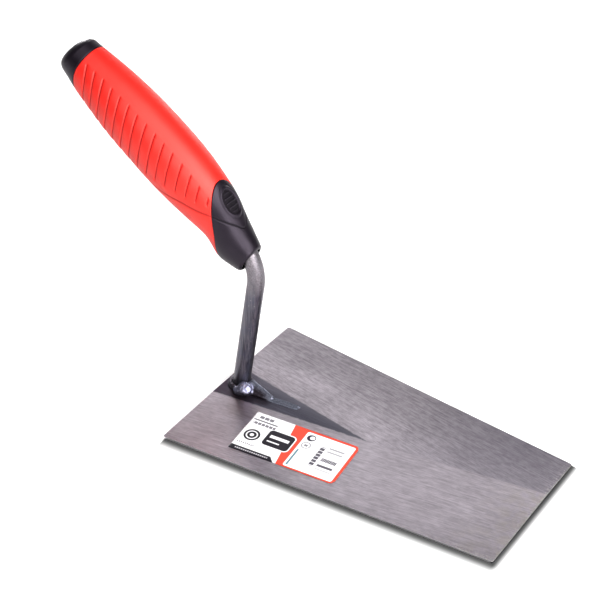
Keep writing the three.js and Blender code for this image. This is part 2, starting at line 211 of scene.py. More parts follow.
# ------------------------------------------------------------------ node helpers
class Nodes:
    """Short names for building a procedural material."""

    def __init__(self, name):
        self.m = bpy.data.materials.new(name)
        self.m.use_nodes = True
        self.t = self.m.node_tree
        self.t.nodes.clear()
        self.out = self.t.nodes.new("ShaderNodeOutputMaterial")
        self.bsdf = self.t.nodes.new("ShaderNodeBsdfPrincipled")
        self.t.links.new(self.bsdf.outputs[0], self.out.inputs[0])
        self._coord = None

    def link(self, a, b):
        self.t.links.new(a, b)

    def put(self, socket, value):
        if isinstance(value, bpy.types.NodeSocket):
            self.t.links.new(value, socket)
        else:
            socket.default_value = value

    @property
    def obj(self):
        if self._coord is None:
            self._coord = self.t.nodes.new("ShaderNodeTexCoord")
        return self._coord.outputs["Object"]

    @property
    def uv(self):
        if self._coord is None:
            self._coord = self.t.nodes.new("ShaderNodeTexCoord")
        return self._coord.outputs["UV"]

    def math(self, op, a, b=None, c=None, clamp=False):
        n = self.t.nodes.new("ShaderNodeMath")
        n.operation = op
        n.use_clamp = clamp
        self.put(n.inputs[0], a)
        if b is not None:
            self.put(n.inputs[1], b)
        if c is not None:
            self.put(n.inputs[2], c)
        return n.outputs[0]

    def mul(self, a, b):
        return self.math("MULTIPLY", a, b)

    def add(self, a, b):
        return self.math("ADD", a, b)

    def sub(self, a, b):
        return self.math("SUBTRACT", a, b)

    def sep(self, v):
        n = self.t.nodes.new("ShaderNodeSeparateXYZ")
        self.put(n.inputs[0], v)
        return n.outputs

    def comb(self, x=0.0, y=0.0, z=0.0):
        n = self.t.nodes.new("ShaderNodeCombineXYZ")
        self.put(n.inputs[0], x)
        self.put(n.inputs[1], y)
        self.put(n.inputs[2], z)
        return n.outputs[0]

    def mapping(self, v, scale=(1, 1, 1), rotation=(0, 0, 0), location=(0, 0, 0)):
        n = self.t.nodes.new("ShaderNodeMapping")
        self.put(n.inputs["Vector"], v)
        n.inputs["Location"].default_value = location
        n.inputs["Rotation"].default_value = rotation
        n.inputs["Scale"].default_value = scale
        return n.outputs[0]

    def noise(self, v, scale, detail=2.0, rough=0.5, distortion=0.0, dims="3D"):
        n = self.t.nodes.new("ShaderNodeTexNoise")
        n.noise_dimensions = dims
        self.put(n.inputs["Vector"], v)
        n.inputs["Scale"].default_value = scale
        n.inputs["Detail"].default_value = detail
        n.inputs["Roughness"].default_value = rough
        n.inputs["Distortion"].default_value = distortion
        return n.outputs[0]

    def voronoi(self, v, scale, feature="F1", randomness=1.0):
        n = self.t.nodes.new("ShaderNodeTexVoronoi")
        n.feature = feature
        self.put(n.inputs["Vector"], v)
        n.inputs["Scale"].default_value = scale
        n.inputs["Randomness"].default_value = randomness
        return n.outputs[0]

    def range(self, x, a, b, c=0.0, d=1.0, kind="LINEAR"):
        n = self.t.nodes.new("ShaderNodeMapRange")
        n.interpolation_type = kind
        n.clamp = True
        self.put(n.inputs["Value"], x)
        n.inputs["From Min"].default_value = a
        n.inputs["From Max"].default_value = b
        n.inputs["To Min"].default_value = c
        n.inputs["To Max"].default_value = d
        return n.outputs[0]

    def mix(self, fac, a, b):
        """Colour mix; a and b are colours (3 numbers) or sockets."""
        n = self.t.nodes.new("ShaderNodeMix")
        n.data_type = "RGBA"
        self.put(n.inputs["Factor"], fac)
        for key, value in (("A", a), ("B", b)):
            s = [i for i in n.inputs if i.name == key and i.type == "RGBA"][0]
            if isinstance(value, bpy.types.NodeSocket):
                self.link(value, s)
            else:
                s.default_value = (*value, 1.0)
        return [o for o in n.outputs if o.type == "RGBA"][0]

    def mixf(self, fac, a, b):
        n = self.t.nodes.new("ShaderNodeMix")
        n.data_type = "FLOAT"
        self.put(n.inputs["Factor"], fac)
        for key, value in (("A", a), ("B", b)):
            s = [i for i in n.inputs if i.name == key and i.type == "VALUE"][0]
            self.put(s, value)
        return [o for o in n.outputs if o.type == "VALUE"][0]

    def bump(self, height, strength=0.3, distance=0.001, normal=None):
        n = self.t.nodes.new("ShaderNodeBump")
        n.inputs["Strength"].default_value = strength
        n.inputs["Distance"].default_value = distance
        self.put(n.inputs["Height"], height)
        if normal is not None:
            self.link(normal, n.inputs["Normal"])
        return n.outputs[0]

    def scaled(self, color, k):
        n = self.t.nodes.new("ShaderNodeVectorMath")
        n.operation = "SCALE"
        self.put(n.inputs[0], color)
        self.put(n.inputs["Scale"], k)
        return n.outputs[0]

    def set(self, **kw):
        names = {
            "color": "Base Color", "metallic": "Metallic", "roughness": "Roughness", "ior": "IOR",
            "specular": "Specular IOR Level", "normal": "Normal", "coat": "Coat Weight",
            "coat_roughness": "Coat Roughness", "sheen": "Sheen Weight", "sheen_roughness": "Sheen Roughness",
            "anisotropic": "Anisotropic", "tangent": "Tangent", "tint": "Specular Tint",
            "subsurface": "Subsurface Weight", "sheen_tint": "Sheen Tint",
        }
        for k, v in kw.items():
            s = self.bsdf.inputs[names[k]]
            if isinstance(v, bpy.types.NodeSocket):
                self.link(v, s)
            elif isinstance(v, (tuple, list)) and len(v) == 3:
                s.default_value = (*v, 1.0)
            else:
                s.default_value = v
        return self.m


HALF_HEEL, HALF_TOE = HEEL_WIDTH / 2, TOE_WIDTH / 2
NEAR_A, NEAR_B = -13.7, 0.133       # near side of the dark triangle: y at the heel, and its slope
FAR_A, FAR_B = 11.5, -0.157         # far side of the dark triangle
TIP_X = (FAR_A - NEAR_A) / (NEAR_B - FAR_B)
RIDGE_B = 0.172                     # slope of the ground ridge beyond the triangle's tip
TAPER = (HALF_HEEL - HALF_TOE) / BLADE_LENGTH
MM = 1000.0  # object coordinates are in metres, so scale 1000 turns them into millimetres


# ------------------------------------------------------------------ materials
def ground_steel(name, anisotropic):
    """Surface-ground blade: two facets with their own grain, and the unground black triangle between them."""
    n = Nodes(name)
    p = n.mapping(n.obj, scale=(MM, MM, MM), location=(-HEEL_X, 0, 0))  # heel frame, mm
    x, y, z = n.sep(p)
    wobble = n.mul(n.sub(n.noise(p, 0.35, 3.0, 0.6), 0.5), 1.1)
    fine = n.mul(n.sub(n.noise(p, 2.2, 2.0, 0.6), 0.5), 0.7)
    ragged = n.add(wobble, fine)
    crest = n.math("MAXIMUM", n.add(n.mul(x, NEAR_B), NEAR_A), n.add(n.mul(x, RIDGE_B), NEAR_A + (NEAR_B - RIDGE_B) * TIP_X))
    near_line = n.sub(y, crest)                                           # > 0 past the near line
    far_line = n.sub(n.add(n.mul(x, FAR_B), FAR_A), y)                    # > 0 before the far line
    edge = n.sub(HALF_HEEL, n.mul(x, TAPER))                              # half width here
    inside = n.math("MINIMUM", near_line, far_line)
    plateau = n.range(n.add(inside, ragged), -0.40, 0.35, kind="SMOOTHSTEP")
    nz = n.sep(n.t.nodes.new("ShaderNodeNewGeometry").outputs["Normal"])[2]
    top = n.range(nz, 0.2, 0.6)
    under = n.range(nz, -0.2, -0.6)
    plateau = n.mul(plateau, top)
    far = n.range(n.add(near_line, n.mul(ragged, 0.6)), -0.5, 0.5, kind="SMOOTHSTEP")

    def grain(angle, sx, sy, seed):
        q = n.mapping(p, rotation=(0, 0, -math.radians(angle)), location=(seed, seed * 0.7, 0))
        g1 = n.noise(n.mapping(q, scale=(sx, sy, 0.4)), 1.0, 4.0, 0.62)
        g2 = n.noise(n.mapping(q, scale=(sx * 3.4, sy * 0.40, 0.4), location=(5, 3, 1)), 1.0, 3.0, 0.65)
        g3 = n.noise(n.mapping(q, scale=(sx * 1.8, sy * 2.2, 0.4), location=(9, 7, 2)), 1.0, 2.0, 0.6)
        return g1, g2, g3

    a = grain(9.0, 0.062, 1.8, 11.0)
    b = grain(-8.5, 0.078, 1.7, 37.0)
    g1, g2, g3 = (n.mixf(far, a[i], b[i]) for i in range(3))
    streak = n.add(n.mul(g1, 0.42), n.add(n.mul(g2, 0.38), n.mul(g3, 0.20)))
    # brushed tone; the far facet is brushed more coarsely, so its dashes stand out more
    spread = n.mixf(far, 0.120, 0.090)
    tone = n.math("DIVIDE", n.sub(streak, n.sub(0.5, spread)), n.mul(spread, 2.0), clamp=True)
    light = n.mix(tone, (0.40, 0.362, 0.402), (0.60, 0.553, 0.602))
    # painted reflection: the facets brighten towards the free end, and the far facet darkens towards its edge
    gain = n.range(x, 25.0, 158.0, 1.0, 1.40)
    across = n.math("DIVIDE", near_line, n.sub(edge, crest))
    late = n.sub(across, n.range(x, 10.0, 85.0, 0.27, 0.0))
    fall = n.sub(n.sub(1.0, n.range(late, 0.0, 0.5, 0.0, 0.31)), n.range(late, 0.5, 1.0, 0.0, 0.13))
    gain = n.mul(gain, n.mixf(far, 1.0, fall))
    gain = n.mul(gain, n.range(n.add(y, edge), 0.0, 9.0, 0.93, 1.0, kind="SMOOTHSTEP"))
    # more painted reflection on the far facet: darker beyond its middle, lighter by the heel and in a patch near (36,
    # 22.5)
    deep = n.sub(1.0, n.mul(n.range(x, 98.0, 148.0), n.range(across, 0.15, 0.60, 0.29, 0.10)))
    bx, by = n.mul(n.sub(x, 36.0), 1 / 28.0), n.mul(n.sub(y, 22.5), 1 / 11.0)
    bump_up = n.range(n.math("SQRT", n.add(n.mul(bx, bx), n.mul(by, by))), 0.15, 1.0, 0.24, 0.0, kind="SMOOTHSTEP")
    early = n.add(n.add(1.0, n.range(x, 0.0, 45.0, 0.14, 0.0)), bump_up)
    gain = n.mul(gain, n.mixf(far, 1.0, n.mul(deep, early)))
    # painted reflection at the near facet's heel end: darker by the edge, lighter by the crest
    heel_near = n.mul(n.range(x, 4.0, 28.0, 1.0, 0.0), n.sub(1.0, far))
    gain = n.mul(gain, n.mixf(heel_near, 1.0, n.range(y, -50.0, -20.0, 0.84, 1.17)))
    gain = n.mul(gain, n.range(x, 158.0, 174.0, 1.0, 1.06))
    cloud = n.range(n.noise(p, 0.045, 3.0, 0.55), 0.3, 0.7, 0.93, 1.07)
    gain = n.mul(gain, cloud)
    light = n.scaled(light, gain)
    # faint warm stain on the near facet by the free end, cooler tone on the far one
    stain = n.mul(n.range(x, 150.0, 176.0), n.range(n.noise(p, 0.16, 3.0, 0.6), 0.40, 0.62))
    light = n.mix(n.mul(stain, n.mixf(far, 0.40, 0.0)), light, (0.66, 0.60, 0.55))
    light = n.mix(n.mul(n.mul(n.range(x, 90.0, 150.0), far), 0.16), light, (0.36, 0.34, 0.46))
    # dull heat tint and a painted dark reflection of the bar, behind the neck, on the near facet
    dx, dy = n.mul(n.sub(x, 24.0), 1 / 18.0), n.mul(n.add(y, 17.0), 1 / 9.0)
    spot = n.math("SQRT", n.add(n.mul(dx, dx), n.mul(dy, dy)))
    light = n.mix(n.range(spot, 0.2, 1.0, 0.30, 0.0, kind="SMOOTHSTEP"), light, (0.30, 0.24, 0.22))
    speck = n.range(n.noise(p, 1.4, 3.0, 0.7), 0.35, 0.75)
    scale_streak = n.range(n.noise(n.mapping(p, scale=(0.05, 0.9, 0.5), rotation=(0, 0, -0.06)), 1.0, 3.0, 0.6), 0.35, 0.7)
    dark = n.mix(n.mul(speck, 0.6), (0.135, 0.130, 0.168), (0.235, 0.226, 0.282))
    dark = n.mix(n.mul(scale_streak, 0.4), dark, (0.27, 0.262, 0.32))
    dark = n.mix(n.range(far_line, 1.0, 7.0, 0.32, 0.0), dark, (0.40, 0.385, 0.44))
    dark = n.mix(n.range(n.add(x, n.mul(wobble, 3.0)), 2.0, 16.0, 0.75, 0.0), dark, (0.125, 0.092, 0.128))
    # weld soot, and a painted dark reflection of the nugget and bar, on the plateau and the near facet
    def soot_and_reflection(cx, cy, rx, ry, amount):
        ex, ey = n.mul(n.sub(x, cx), 1 / rx), n.mul(n.sub(y, cy), 1 / ry)
        q = n.add(n.math("SQRT", n.add(n.mul(ex, ex), n.mul(ey, ey))), n.mul(wobble, 0.12))
        return n.range(q, 0.45, 1.0, amount, 0.0, kind="SMOOTHSTEP")

    burn_and_reflection = n.math("MAXIMUM", soot_and_reflection(15.5, -8.5, 10.5, 6.5, 0.85), soot_and_reflection(24.0, -6.0, 8.0, 4.0, 0.6))
    dark = n.mix(burn_and_reflection, dark, (0.060, 0.045, 0.056))
    light = n.mix(n.mul(burn_and_reflection, 0.55), light, (0.24, 0.185, 0.185))
    # worn bright line where the grinding stops
    lip = n.range(n.math("ABSOLUTE", n.add(n.sub(inside, 0.15), ragged)), 0.0, 0.35, 0.35, 0.0)
    color = n.mix(plateau, light, dark)
    color = n.mix(n.mul(lip, top), color, (0.52, 0.50, 0.52))
    # burrs and small bright nicks along the free end and the last part of the near edge, and a painted highlight line
    # just inside that edge
    rim = n.math("MINIMUM", n.sub(BLADE_LENGTH, x), n.add(n.add(y, edge), n.range(x, 120.0, 165.0, 3.0, 0.0)))
    fleck = n.range(n.noise(n.mapping(p, location=(4, 2, 0)), 0.75, 3.0, 0.75), 0.50, 0.60)
    shine = n.math("MAXIMUM", n.mul(n.range(rim, 0.30, 0.55, 0.75, 0.0), n.mixf(fleck, 0.55, 1.0)), n.mul(fleck, n.range(rim, 0.5, 4.0, 0.42, 0.0)))
    color = n.mix(n.mul(shine, top), color, (0.98, 0.96, 0.90))
    # painted light and shade on the sheared sides: the long sides are bright and the free end's face is dark, both with
    # bright nicks
    nick = n.range(n.noise(p, 0.9, 3.0, 0.7), 0.60, 0.70)
    side = n.mix(n.range(x, 178.5, 179.2), (1.0, 0.98, 1.0), (0.27, 0.262, 0.27))
    color = n.mix(n.sub(1.0, top), color, n.mix(n.mul(nick, 0.7), side, (0.95, 0.94, 0.95)))
    # the flat underside is ground lengthwise, and rubbed by use
    rubbed = n.range(n.noise(n.mapping(p, scale=(0.5, 1.0, 1.0)), 0.05, 4.0, 0.6), 0.35, 0.65, 0.82, 1.08)
    color = n.mix(under, color, n.scaled(n.mix(tone, (0.46, 0.44, 0.455), (0.64, 0.62, 0.635)), rubbed))
    rough = n.mixf(plateau, n.range(streak, 0.35, 0.65, 0.40, 0.32), n.range(speck, 0, 1, 0.42, 0.56))
    height = n.mixf(plateau, n.mul(streak, 1.0), n.add(n.mul(speck, 0.8), n.mul(scale_streak, 0.4)))
    return n.set(color=color, metallic=1.0, roughness=rough, anisotropic=anisotropic,
                 normal=n.bump(height, 0.16, 0.0002))


def black_steel():
    """Hot-rolled bar: blue-grey scale with length-wise drawing marks, rubbed bright at the bend."""
    n = Nodes("black_steel")
    p = n.mapping(n.obj, scale=(MM, MM, MM), location=(-HEEL_X, 0, 0))
    x, y, z = n.sep(p)
    along = n.noise(n.mapping(p, scale=(1.3, 1.3, 0.045)), 1.0, 4.0, 0.6)
    blot = n.noise(p, 0.16, 3.0, 0.6)
    speck = n.noise(p, 2.2, 3.0, 0.65)
    base = n.mix(n.range(along, 0.35, 0.65), (0.085, 0.083, 0.102), (0.188, 0.180, 0.206))
    base = n.mix(n.range(blot, 0.42, 0.72, 0.0, 0.5), base, (0.11, 0.115, 0.16))
    worn = n.mul(n.range(z, 61.0, 73.0, kind="SMOOTHSTEP"), n.range(n.add(blot, n.mul(speck, 0.4)), 0.45, 0.85, 0.35, 1.0))
    base = n.mix(n.mul(worn, 0.85), base, (0.30, 0.272, 0.290))
    pits = n.range(n.noise(p, 1.1, 2.0, 0.6), 0.69, 0.76)
    base = n.mix(n.mul(pits, 0.8), base, (0.5, 0.48, 0.5))
    foot = n.range(z, 3.0, 15.0, 0.25, 0.0, kind="SMOOTHSTEP")
    base = n.mix(foot, base, (0.045, 0.042, 0.05))
    rough = n.range(n.add(n.mul(along, 0.6), n.mul(speck, 0.4)), 0.3, 0.7, 0.26, 0.44)
    rough = n.add(rough, n.mul(worn, 0.14))
    mottle = n.range(n.noise(n.mapping(p, scale=(1.0, 1.0, 0.7)), 1.5, 3.0, 0.7), 0.40, 0.62, 0.72, 1.12)
    base = n.scaled(base, n.mixf(worn, 1.0, mottle))
    height = n.add(n.mul(along, 0.7), n.mul(speck, 0.5))
    return n.set(color=base, metallic=0.92, roughness=rough, normal=n.bump(height, 0.25, 0.0003))


def weld_steel():
    """Weld metal: bright bluish nugget with painted shade on its lower faces, dull brown-black heat scale on the rest,
    blue-grey painted light on top of the lump and a painted shadow under its upper run.
    """
    n = Nodes("weld_steel")
    p = n.mapping(n.obj, scale=(MM, MM, MM), location=(-HEEL_X, 0, 0))
    x, y, z = n.sep(p)
    nz = n.sep(n.t.nodes.new("ShaderNodeNewGeometry").outputs["Normal"])[2]
    speck = n.noise(p, 1.7, 3.0, 0.65)
    big = n.noise(p, 0.5, 2.0, 0.6)
    fleck = n.noise(n.mapping(p, location=(3, 8, 1)), 0.85, 2.0, 0.6)

    def near_to(cx, cy, cz, r, soft):
        q = n.math("SQRT", n.add(n.add(n.math("POWER", n.sub(x, cx), 2.0), n.math("POWER", n.sub(y, cy), 2.0)),
                                 n.math("POWER", n.sub(z, cz), 2.0)))
        return n.range(n.add(q, n.mul(n.sub(big, 0.5), 1.6)), r - soft, r + soft, 1.0, 0.0, kind="SMOOTHSTEP")

    bright = near_to(15.0, -4.9, 4.9, 3.9, 0.7)
    lobe = n.mul(near_to(11.0, -7.2, 4.0, 2.9, 0.8), 0.55)
    bright = n.math("MAXIMUM", bright, n.math("MAXIMUM", lobe, n.mul(near_to(12.2, -4.6, 7.2, 1.8, 0.6), 0.6)))
    # painted shade: the nugget's faces that turn downwards lose most of their bright colour
    bright = n.mul(bright, n.range(nz, -0.15, 0.45, 0.25, 1.0))
    scale = n.mix(n.range(speck, 0.35, 0.7), (0.048, 0.040, 0.052), (0.150, 0.142, 0.172))
    # painted shadow under the lump's upper run, and painted light on the lump's upward faces
    shade = n.mul(n.mul(n.range(y, -3.4, -1.2, 1.0, 0.0), n.range(x, 24.0, 29.0, 1.0, 0.0)), n.range(x, 14.0, 17.0))
    painted_lit_top = n.mul(n.mul(n.range(nz, 0.40, 0.85), n.range(x, 12.0, 17.0)), n.sub(1.0, shade))
    scale = n.mix(n.mul(painted_lit_top, 0.85), scale, n.mix(n.range(speck, 0.35, 0.65), (0.18, 0.188, 0.235), (0.31, 0.325, 0.40)))
    scale = n.mix(n.mul(shade, 0.85), scale, (0.045, 0.036, 0.046))
    blue = n.mix(n.range(fleck, 0.36, 0.60), (0.27, 0.28, 0.42), (0.50, 0.50, 0.62))
    tail = n.range(x, 24.0, 34.0, kind="SMOOTHSTEP")
    scale = n.mix(n.mul(tail, 0.8), scale, n.mix(n.range(speck, 0.35, 0.65), (0.17, 0.178, 0.22), (0.28, 0.295, 0.36)))
    color = n.mix(bright, scale, blue)
    rough = n.mixf(bright, n.range(speck, 0.3, 0.7, 0.42, 0.56), n.range(fleck, 0.36, 0.60, 0.52, 0.42))
    return n.set(color=color, metallic=0.95, roughness=rough,
                 normal=n.bump(n.add(n.mul(speck, 0.5), n.mul(big, 0.6)), 0.18, 0.0003))


def moulded(name, dark, light, groove, rough_lo, rough_hi, grain_mm, bump, specular=0.5, sheen=0.0, tint=(1, 1, 1)):
    n = Nodes(name)
    p = n.mapping(n.obj, scale=(MM, MM, MM), location=(-HEEL_X, 0, 0))
    grain = n.noise(p, 1.0 / grain_mm, 2.0, 0.6)
    pores = n.voronoi(p, 1.0 / (grain_mm * 1.6))
    cloud = n.noise(p, 0.08, 3.0, 0.55)
    color = n.mix(n.range(n.add(n.mul(cloud, 0.7), n.mul(grain, 0.3)), 0.35, 0.65), dark, light)
    hollow = n.t.nodes.new("ShaderNodeAttribute")
    hollow.attribute_name = "hollow"
    # painted shade: grooves, recesses and the bore darken towards the groove colour and turn rough
    hollow_shade = n.mul(n.range(hollow.outputs["Fac"], 0.15, 0.95), n.range(cloud, 0.3, 0.7, 0.82, 1.0))
    color = n.mix(hollow_shade, color, groove)
    rough = n.range(n.add(n.mul(grain, 0.55), n.mul(cloud, 0.45)), 0.35, 0.65, rough_lo, rough_hi)
    rough = n.mixf(hollow_shade, rough, 0.85)
    height = n.add(grain, n.mul(pores, 0.6))
    n.bsdf.inputs["Specular Tint"].default_value = (*tint, 1.0)
    return n.set(color=color, metallic=0.0, roughness=rough, specular=specular, sheen=sheen,
                 normal=n.bump(height, bump, 0.00015))


def label_print():
    """Generic printed label in its own 0..1 coordinates: bars, bands and a ring, no lettering."""
    n = Nodes("label_paper")
    u, v, _ = n.sep(n.uv)
    x, y = n.mul(u, LABEL_LENGTH), n.mul(v, LABEL_WIDTH)          # mm, from the lower left corner

    def step(a, edge, soft=0.10):
        return n.range(a, edge - soft, edge + soft)

    def rect(x0, x1, y0, y1):
        a = n.mul(step(x, x0, 0.15), n.sub(1.0, step(x, x1, 0.15)))
        b = n.mul(step(y, y0, 0.15), n.sub(1.0, step(y, y1, 0.15)))
        return n.mul(a, b)

    def disc(cx, cy, r):
        d = n.math("SQRT", n.add(n.math("POWER", n.sub(x, cx), 2.0), n.math("POWER", n.sub(y, cy), 2.0)))
        return n.sub(1.0, step(d, r))

    def either(*items):
        out = items[0]
        for i in items[1:]:
            out = n.math("MAXIMUM", out, i)
        return out

    white, black, red = (0.97, 0.955, 0.975), (0.012, 0.009, 0.017), (0.80, 0.080, 0.044)
    ink = (0.035, 0.028, 0.050)

    def pale(c, k):
        return tuple(w + (i - w) * k for w, i in zip(white, c))

    color = n.mix(0.0, white, white)
    # red field from a slanted line to the right end, and a round black badge set into it
    field = step(n.add(x, n.mul(n.sub(y, 15.0), 0.16)), 24.4, 0.14)
    color = n.mix(field, color, red)

    def plate(cx, cy, hx, hy, r):
        px = n.math("MAXIMUM", n.sub(n.math("ABSOLUTE", n.sub(x, cx)), hx - r), 0.0)
        py = n.math("MAXIMUM", n.sub(n.math("ABSOLUTE", n.sub(y, cy)), hy - r), 0.0)
        return n.sub(1.0, step(n.math("SQRT", n.add(n.mul(px, px), n.mul(py, py))), r))

    color = n.mix(plate(20.2, 15.4, 7.9, 6.5, 2.6), color, white)
    color = n.mix(plate(20.2, 15.4, 7.2, 5.8, 2.0), color, black)
    for x0, x1, y0, y1 in ((14.8, 25.4, 15.6, 17.7), (14.8, 21.8, 12.4, 13.3)):
        color = n.mix(rect(x0, x1, y0, y1), color, white)
    # white panel with rounded corners in the red field
    qx = n.math("MAXIMUM", n.sub(n.math("ABSOLUTE", n.sub(x, 43.7)), 12.4), 0.0)
    qy = n.math("MAXIMUM", n.sub(n.math("ABSOLUTE", n.sub(y, 14.75)), 12.8), 0.0)
    corner = n.math("SQRT", n.add(n.mul(qx, qx), n.mul(qy, qy)))
    color = n.mix(n.sub(1.0, step(corner, 1.1)), color, white)
    # black foot strip with a pale dashed line
    foot = n.mul(n.sub(1.0, step(n.add(x, n.mul(y, 0.9)), 25.2)), n.sub(1.0, step(y, 3.1)))
    color = n.mix(foot, color, black)
    dashes = n.range(n.math("FRACT", n.mul(x, 0.83)), 0.22, 0.40)
    color = n.mix(n.mul(n.mul(rect(3.0, 21.4, 1.15, 1.95), dashes), 0.85), color, (0.72, 0.70, 0.74))
    # left white area: two captions drawn as blocks, a rule, a round mark and a fine dashed line
    blocks = n.range(n.math("FRACT", n.mul(x, 0.36)), 0.10, 0.16)
    color = n.mix(n.mul(rect(3.0, 11.4, 26.2, 28.2), blocks), color, pale(ink, 0.80))
    color = n.mix(n.mul(rect(1.8, 14.6, 21.4, 23.2), n.range(n.math("FRACT", n.mul(x, 0.47)), 0.12, 0.18)), color, pale(ink, 0.80))
    color = n.mix(rect(1.0, 14.6, 24.2, 25.15), color, pale(ink, 0.85))
    color = n.mix(disc(6.1, 13.2, 4.25), color, black)
    color = n.mix(disc(6.1, 13.2, 3.15), color, white)
    color = n.mix(disc(6.1, 13.2, 2.45), color, black)
    color = n.mix(disc(6.1, 13.2, 1.1), color, white)
    color = n.mix(n.mul(rect(1.2, 11.0, 5.7, 6.6), n.range(n.math("FRACT", n.mul(x, 0.9)), 0.3, 0.45)), color, pale(ink, 0.85))
    # right panel: rings, a column of blocks and plain bars
    ring_a = n.mul(disc(33.9, 24.9, 2.35), n.sub(1.0, disc(34.4, 25.1, 1.35)))
    color = n.mix(ring_a, color, pale(ink, 1.0))
    ring_b = n.mul(disc(33.9, 18.9, 2.5), n.sub(1.0, disc(33.9, 18.9, 1.9)))
    color = n.mix(ring_b, color, pale(ink, 0.70))
    color = n.mix(rect(32.9, 34.9, 18.0, 19.6), color, pale(ink, 0.75))
    column = n.range(n.math("FRACT", n.mul(y, 0.43)), 0.14, 0.22)
    color = n.mix(n.mul(rect(41.3, 43.8, 6.6, 21.8), column), color, pale(ink, 0.92))
    fine = n.range(n.math("FRACT", n.mul(x, 1.4)), 0.15, 0.30)
    for x0, x1, y0, y1, c in (
        (31.3, 32.3, 2.0, 14.6, (0.13, 0.24, 0.28)), (33.1, 34.3, 2.4, 12.4, pale((0.5, 0.4, 0.6), 0.40)),
        (35.2, 36.0, 2.4, 11.0, pale((0.2, 0.4, 0.5), 0.22)), (36.9, 37.6, 2.4, 9.0, pale((0.2, 0.4, 0.5), 0.16)),
        (39.0, 39.7, 2.0, 27.6, pale(ink, 0.24)), (45.4, 53.8, 21.7, 22.8, pale(ink, 0.66)), (45.4, 53.8, 19.1, 20.2, pale(ink, 0.62)),
        (45.4, 53.8, 7.9, 9.5, pale(ink, 0.92)), (45.4, 53.8, 5.5, 6.5, pale(ink, 0.45)), (45.4, 53.8, 3.5, 4.5, pale(ink, 0.34)),
    ):
        color = n.mix(rect(x0, x1, y0, y1), color, c)
    color = n.mix(n.mul(rect(45.4, 53.8, 12.0, 14.5), fine), color, pale(ink, 0.95))
    fibre = n.noise(n.comb(x, y, 0.0), 6.0, 2.0, 0.6)
    wave = n.noise(n.comb(x, y, 0.0), 0.12, 2.0, 0.5)
    color = n.mix(n.range(fibre, 0.3, 0.7, 0.0, 0.04), color, (0.6, 0.58, 0.57))
    rough = n.range(fibre, 0.3, 0.7, 0.34, 0.46)
    return n.set(color=color, metallic=0.0, roughness=rough, specular=0.3,
                 normal=n.bump(n.add(n.mul(fibre, 0.15), wave), 0.12, 0.0004))


M_GROUND = ground_steel("ground_steel", 0.45)
M_UNDER = ground_steel("ground_steel_under", 0.0)
M_BLACK_STEEL = black_steel()
M_WELD = weld_steel()
# the third colour of each is the painted shade in grooves, recesses and the bore
M_BLACK = moulded("black_plastic", (0.0042, 0.0024, 0.0052), (0.0082, 0.0054, 0.0098), (0.0008, 0.0006, 0.0010),
                  0.34, 0.46, 0.35, 0.22, specular=0.52, tint=(0.95, 0.83, 1.0))
M_RED = moulded("red_rubber", (0.62, 0.0100, 0.0045), (0.72, 0.0160, 0.0080), (0.34, 0.0025, 0.0035),
                0.43, 0.53, 0.40, 0.30, specular=0.84, tint=(1.0, 0.98, 0.90))
M_LABEL = label_print()


def finish_piece(ob, slot, *nodes):
    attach(ob, "root")
    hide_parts(*nodes)
    return ob


# ------------------------------------------------------------------ blade

def edge_y(x):
    return HALF_HEEL + (HALF_TOE - HALF_HEEL) * x / BLADE_LENGTH


def edge_z(x):
    return EDGE_HEEL + (EDGE_TOE - EDGE_HEEL) * x / BLADE_LENGTH


def crest_z(x):
    return PLATEAU_HEEL + (CREST_TOE - PLATEAU_HEEL) * x / BLADE_LENGTH


def near_crest(x):
    return max(NEAR_A + NEAR_B * x, NEAR_A + NEAR_B * TIP_X + RIDGE_B * (x - TIP_X))


def far_crest(x):
    return max(FAR_A + FAR_B * x, near_crest(x))


def blade_top(x, y):
    lo, hi, e = near_crest(x), far_crest(x), edge_y(x)
    if y < lo:
        return edge_z(x) + (crest_z(x) - edge_z(x)) * (y + e) / (lo + e)
    if y > hi:
        return edge_z(x) + (crest_z(x) - edge_z(x)) * (e - y) / (e - hi)
    return crest_z(x)


